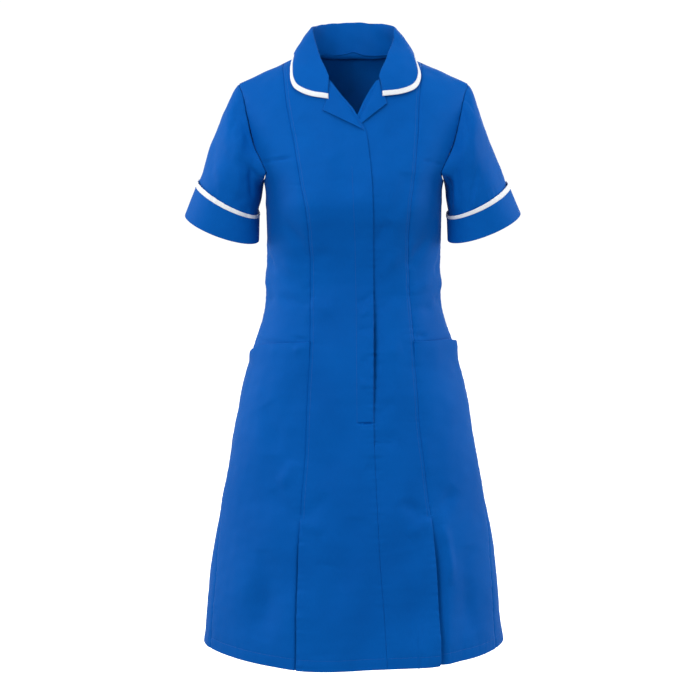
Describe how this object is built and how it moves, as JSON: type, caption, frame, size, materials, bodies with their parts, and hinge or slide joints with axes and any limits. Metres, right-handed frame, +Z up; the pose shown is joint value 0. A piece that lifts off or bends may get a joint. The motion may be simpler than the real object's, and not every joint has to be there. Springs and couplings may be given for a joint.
{
  "type": "nurse uniform dress",
  "caption": "Knee-length short-sleeved nurse's dress in royal blue twill, with white-bound collar and turned-back cuffs, lapels, princess seams, hip pockets and kick pleats, worn and hollow.",
  "frame": {"origin": "Midway between the two shoulders, 54 mm below the height at which the sloping shoulder seams would meet over the middle, where the wearer's shoulders carry the dress.", "axes": "+Z up, the wearer faces -Y, +X to the wearer's left."},
  "size_m": [0.5639, 0.3789, 1.0671],
  "materials": {
    "royal_cloth": "smooth pressed polycotton twill with a faint sheen at grazing angles",
    "white_binding": "plain white polycotton binding, matte"
  },
  "bodies": {
    "root": {"front_right": "royal_cloth", "front_left": "royal_cloth", "side_front_right": "royal_cloth", "side_front_left": "royal_cloth", "side_skirt_right": "royal_cloth", "side_skirt_left": "royal_cloth", "back": "royal_cloth", "sleeve_right": "royal_cloth", "sleeve_left": "royal_cloth", "cuff_right": "royal_cloth", "cuff_left": "royal_cloth", "collar": "royal_cloth", "lapel_right": "royal_cloth", "lapel_left": "royal_cloth", "collar_binding": "white_binding", "cuff_binding_right": "white_binding", "cuff_binding_left": "white_binding"}
  },
  "joints": []
}
